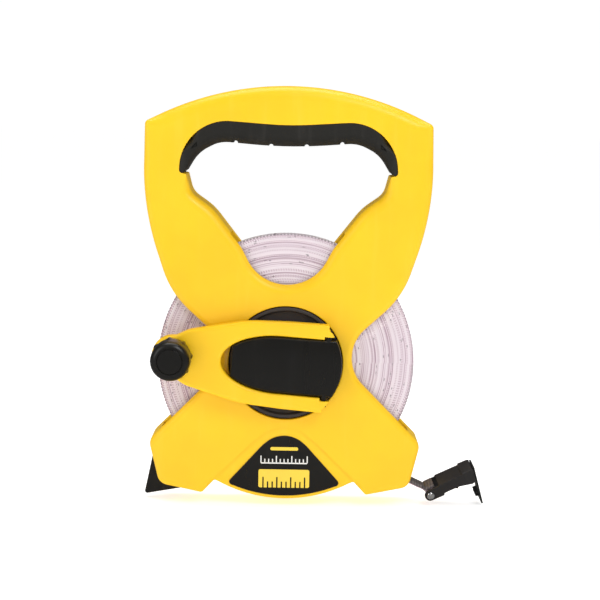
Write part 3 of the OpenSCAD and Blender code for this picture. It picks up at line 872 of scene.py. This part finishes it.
def knob_cap():
    """The flush plug in the knob's face."""
    return lathe([(0.05, KNOB_FRONT + 2), (7.85, KNOB_FRONT + 2), (7.85, KNOB_FRONT + 0.25),
                  (7.6, KNOB_FRONT + 0.05), (6, KNOB_FRONT), (0.05, KNOB_FRONT)], 96)


# ---- the tape's end ----

def tongue():
    """The tape's end: from inside the case, out of the mouth and round the rivet."""
    half, eye_r, wide_half, eye_half = TAPE_THICK / 2, 2.2, 6.35, 5.4
    inner_x, straight, steps = -41, 38.9, 24
    side = Vector((0, 1, 0))
    stations = [(Vector((inner_x + straight * i / steps, 0, 0)), Vector((0, 0, 1))) for i in range(steps + 1)]
    for i in range(1, 17):
        a = math.radians(150 - 300 * i / 16)
        up = Vector((math.cos(a), 0, math.sin(a)))
        stations.append((up * eye_r, up))
    rings, marks = [], []
    length = 0
    for i, (centre, up) in enumerate(stations):
        reach = wide_half if i < 21 else eye_half
        section = ((-reach, -half), (reach, -half), (reach, half), (-reach, half))
        rings.append([centre + side * a + up * b for a, b in section])
        if i:
            length += (centre - stations[i - 1][0]).length
        marks.append((length, 0))
    return ribbon(rings, marks, (0.0, 0.49, 0.49, 0.0))


def end_strap():
    """A stiff strap on top of the tape's end, kinked up to the hook and narrower between its cheeks."""
    to_exit = Matrix.Translation(rivet).inverted() @ EXIT
    to_hook = Matrix.Translation(rivet).inverted() @ HOOK
    over_tape, in_hook, wide, narrow = 1.25, 4.3, 12.4, 10.8
    start, neck, kink = [to_exit @ Vector((x, 0, over_tape)) for x in (-23, -6.1, -5.5)]
    bend, end = [to_hook @ Vector((x, 0, in_hook)) for x in (-0.6, 4.6)]
    rows = [(start.lerp(neck, i / 12), 0, wide) for i in range(13)]
    rows.append((kink, 0, narrow))
    for i in range(1, 9):
        t = i / 9
        rows.append((kink.lerp(bend, t) - Vector((0, 0, 0.4 * math.sin(math.pi * t))), t, narrow))
    rows += [(bend.lerp(end, i / 6), 1, narrow) for i in range(7)]
    sides = (to_exit.to_3x3() @ Vector((0, 1, 0)), to_hook.to_3x3() @ Vector((0, 1, 0)))
    ups = (to_exit.to_3x3() @ Vector((0, 0, 1)), to_hook.to_3x3() @ Vector((0, 0, 1)))
    mesh = bmesh.new()
    rings = []
    for centre, t, width in rows:
        side, up = sides[0].lerp(sides[1], t).normalized(), ups[0].lerp(ups[1], t).normalized()
        rings.append([mesh.verts.new(centre + side * a + up * b) for a, b in rounded_bar(width, 2, 0.45)])
    tube_of_rings(mesh, rings)
    for ring in (rings[0], rings[-1]):
        mesh.faces.new(ring)
    return tidied(mesh)


HOOK_HALF = 8.1         # half width of the hook over its cheeks


def rivet_pin():
    """The rivet, with a domed head at both ends."""
    head = [(0.05, 1.15), (0.9, 1.1), (1.7, 0.9), (2.3, 0.55), (2.5, 0.2), (2.4, 0.05), (1.8, 0)]
    near = [(r, -HOOK_HALF - out) for r, out in head]
    far = [(r, HOOK_HALF + out) for r, out in head[::-1]]
    return lathe(near + far, 48)


CLAW_TOP, CLAW_TIP = Vector((32.4, 5)), Vector((27.7, -22))
CLAW_ALONG = (CLAW_TIP - CLAW_TOP).normalized()


def hook_body():
    """The hook's channel: two cheeks and a top with a round-ended slot."""
    half, cheek = HOOK_HALF, 1.5
    foot = CLAW_TOP + 8.8 * CLAW_ALONG
    outline = rounded([(-3.8, 3.8, 3.6), (7, 3.8, 0.5), (7.6, 4.4, 0.3), (23.9, 4.4, 0.3), (24.4, 5.2, 0.4),
                       (CLAW_TOP.x - 0.1, CLAW_TOP.y, 1.2), (foot.x - 0.1, foot.y, 0.5), (28.4, -5, 1),
                       (19, -2.6, 0.5), (18, -3.4, 0.5), (16.5, -2.6, 0.5), (9, -2.6, 0.8), (8.3, -3.8, 0.5),
                       (-3.8, -3.8, 3.6)])
    body = slab([(outline, 0.7, 0.7, None)], -half, half, 4)
    hollow = [Vector(p) for p in ((-9, 9), (7.6, 9), (7.6, 2.9), (30.1, 2.9), (28.7, -9), (-9, -9))]
    corners = [(9.6, 2.9, 2.8), (22.9, 2.9, 2.8), (22.9, -2.9, 2.8), (9.6, -2.9, 2.8)]
    slot = slab([(rounded(corners), 0, 0, None)], -9, -1)
    upright = Matrix.Rotation(math.pi / 2, 4, "X")
    return combined(body, [slab([(hollow, 0, 0, None)], -half + cheek, half - cheek), moved(slot, upright),
                           rod(1.9, -10, 10, count=40)])


def claw():
    """A thin toothed plate with a rounded tip."""
    half, thick = 6, 1.2
    out = Vector((-CLAW_ALONG.y, CLAW_ALONG.x))
    edge = [(CLAW_TOP, 0.2), (CLAW_TIP, 0.55), (CLAW_TIP + out * thick, 0.55), (CLAW_TOP + out * thick, 0.5)]
    plate = slab([(rounded([(p.x, p.y, r) for p, r in edge]), 0.3, 0.3, None)], -half, half, 3)
    teeth = []
    tooth = ((0.5, 0.6), (-2.4, 0.08), (0.5, -0.5))
    for s in (19.2, 21.2):
        points = [CLAW_TOP + CLAW_ALONG * (s + a) + out * b for b, a in tooth]
        teeth.append(slab([(points, 0, 0, None)], -half + 1.1, half - 1.1))
    return combined(plate, teeth, "UNION")


# ---- assembly ----

def build_case():
    add_piece("front_case", front_case(), HUB, YELLOW, "frame", ["front_shell"])
    add_piece("back_case", back_case(), HUB, YELLOW, "frame", ["back_shell"])
    add_piece("rubber_grip", grip(), HUB, RUBBER, "frame", ["handle_grip"], 40)
    spike = slab([(rounded(SPIKE), 0.6, 0.6, None)], SEAM - 2, SEAM + 2, 3)
    add_piece("spike_plate", spike, HUB, BLACK_STEEL, "frame", ["ground_spike"])
    film = slab([(label_outline(), 0.2, 0, None)], LABEL_FACE, PANEL_FLOOR, 3)
    add_piece("belly_label", film, HUB, LABEL, "frame", ["label_plate"])
    white, yellow = label_prints()
    add_piece("label_scale_white", white, HUB, PRINT_WHITE, "frame")
    add_piece("label_scale_yellow", yellow, HUB, PRINT_YELLOW, "frame")
    add_piece("label_scale_black", scale_bar_marks(), HUB, LABEL, "frame")
    add_piece("screw_heads", screw_heads(), HUB, STEEL, "frame", ["case_screws"])
    add_piece("axle_bolt_head", axle_head(), HUB, STEEL, "frame", ["axle_bolt"])


def build_reel():
    add_piece("wound_tape", coil(), HUB, TAPE, "reel", ["tape_coil"], 50)
    # The dish's lighter black is painted sheen.
    add_piece("hub_dish", hub_dish(), CRANK, HUB_BLACK_PAINTED_SHEEN, "reel", ["hub_cover"])
    add_piece("hub_bar", hub_bar(), CRANK, BLACK, "reel")
    add_piece("crank_fork", crank_arm(), CRANK, YELLOW, "crank", ["crank_arm"])
    to_knob = CRANK @ Matrix.Translation((knob_axis.x, 0, knob_axis.z))
    add_piece("crank_knob", knob(), to_knob, BLACK, "knob", ["knob"])
    add_piece("crank_knob_cap", knob_cap(), to_knob, BLACK, "knob", ["knob_cap"])


def build_tape_end():
    add_piece("tape_end_ribbon", tongue(), EXIT, TAPE, "tape_end", ["tape_tongue"], 50)
    add_piece("kinked_strap", end_strap(), Matrix.Translation(rivet), STRAP, "tape_end",
              ["end_strap"])
    add_piece("rivet_pin", rivet_pin(), HOOK, BRIGHT, "tape_end", ["hook_rivet"], 50)
    add_piece("hook_channel", hook_body(), HOOK, BLACK_FLAT, "hook", ["hook_body"])
    add_piece("hook_claw", claw(), HOOK, BLACK_STEEL, "hook", ["claw_plate"])


def dress_cad_nodes():
    """The CAD nodes whose shapes stay get their finished materials."""
    finishes = {"axle_clip": STEEL, "tape_guide_pin": STEEL, "mouth_guide": BLACK, "tape_run": TAPE,
                "reel_drum": BLACK, "hub_screws": STEEL, "tape_anchor": STEEL, "hinge_pin": BLACK_STEEL,
                "knob_stud": STEEL, "knob_clip": STEEL}
    for node, material in finishes.items():
        data = frame["nodes"][node].data
        data.materials.clear()
        data.materials.append(material)
        data.set_sharp_from_angle(angle=math.radians(32))


# ---- studio ----

def look_at(place, target):
    return (target - place).to_track_quat("-Z", "Y").to_matrix().to_4x4()


def build_camera():
    """The view of the photograph: from the front, slightly above, with a long lens."""
    elevation, roll, distance = math.radians(7), math.radians(0.95), 1.0
    view_width, sensor = 0.384, 36
    target = hub + Vector((0.0086, FRONT * MM, 0.0411))
    place = target + distance * Vector((0, -math.cos(elevation), math.sin(elevation)))
    data = bpy.data.cameras.new("camera")
    data.sensor_width = sensor
    data.lens = sensor * distance / view_width
    camera = bpy.data.objects.new("camera", data)
    camera.matrix_world = Matrix.Translation(place) @ look_at(place, target) @ Matrix.Rotation(roll, 4, "Z")
    bpy.context.scene.collection.objects.link(camera)
    bpy.context.scene.camera = camera


def add_light(name, place, target, size, power, colour=(1, 1, 1)):
    data = bpy.data.lights.new(name, "AREA")
    data.shape = "RECTANGLE"
    data.size, data.size_y = size
    data.energy = power
    data.color = colour
    light = bpy.data.objects.new(name, data)
    light.matrix_world = Matrix.Translation(place) @ look_at(Vector(place), target)
    bpy.context.scene.collection.objects.link(light)


def build_floor():
    """A wide pale floor that goes over into the white background, and shines dimmer in gloss."""
    floor_z = cad_box[0].z - 0.0005
    mesh = bmesh.new()
    size, pale = 15.0, (0.93, 0.93, 0.925)
    corners = [(-size, -size, floor_z), (size, -size, floor_z), (size, size, floor_z), (-size, size, floor_z)]
    mesh.faces.new([mesh.verts.new(c) for c in corners])
    floor = as_object(mesh, "floor")
    material, nodes, links, principled = shader("floor", pale, 0.9, Specular_IOR_Level=0.0)
    principled.inputs["Emission Color"].default_value = (1, 1, 1, 1)
    glossy = nodes.new("ShaderNodeLightPath").outputs["Is Glossy Ray"]
    links.new(mapped(nodes, links, glossy, 0, 1, 0.52, 0.05), principled.inputs["Emission Strength"])
    links.new(mixed(nodes, links, glossy, pale, (0.2, 0.2, 0.2)), principled.inputs["Base Color"])
    floor.data.materials.append(material)


def build_studio():
    """A white room that the camera sees as it is, and that shines dimmer in gloss."""
    world = bpy.data.worlds.new("studio")
    bpy.context.scene.world = world
    world.use_nodes = True
    nodes, links = world.node_tree.nodes, world.node_tree.links
    background = nodes["Background"]
    path = nodes.new("ShaderNodeLightPath")
    ambient, more_in_view, more_in_gloss = 0.52, 0.5, -0.42
    glossy = calculated(nodes, links, "MULTIPLY", path.outputs["Is Glossy Ray"], more_in_gloss)
    camera = calculated(nodes, links, "MULTIPLY", path.outputs["Is Camera Ray"], more_in_view)
    strength = calculated(nodes, links, "ADD", calculated(nodes, links, "ADD", glossy, camera), ambient)
    background.inputs["Color"].default_value = (1, 1, 1, 1)
    links.new(strength, background.inputs["Strength"])
    middle = hub + Vector((0, 0, 0.03))
    add_light("key", (0.45, -0.75, 0.65), middle, (0.5, 0.4), 3.8)
    add_light("fill", (-0.75, -0.6, 0.25), middle, (0.35, 0.7), 1.7)
    add_light("top", (0, 0.1, 0.85), middle, (0.8, 0.5), 4.6)
    bpy.context.scene.view_settings.view_transform = "Standard"


build_camera()
build_floor()
build_studio()
build_case()
build_reel()
build_tape_end()
dress_cad_nodes()
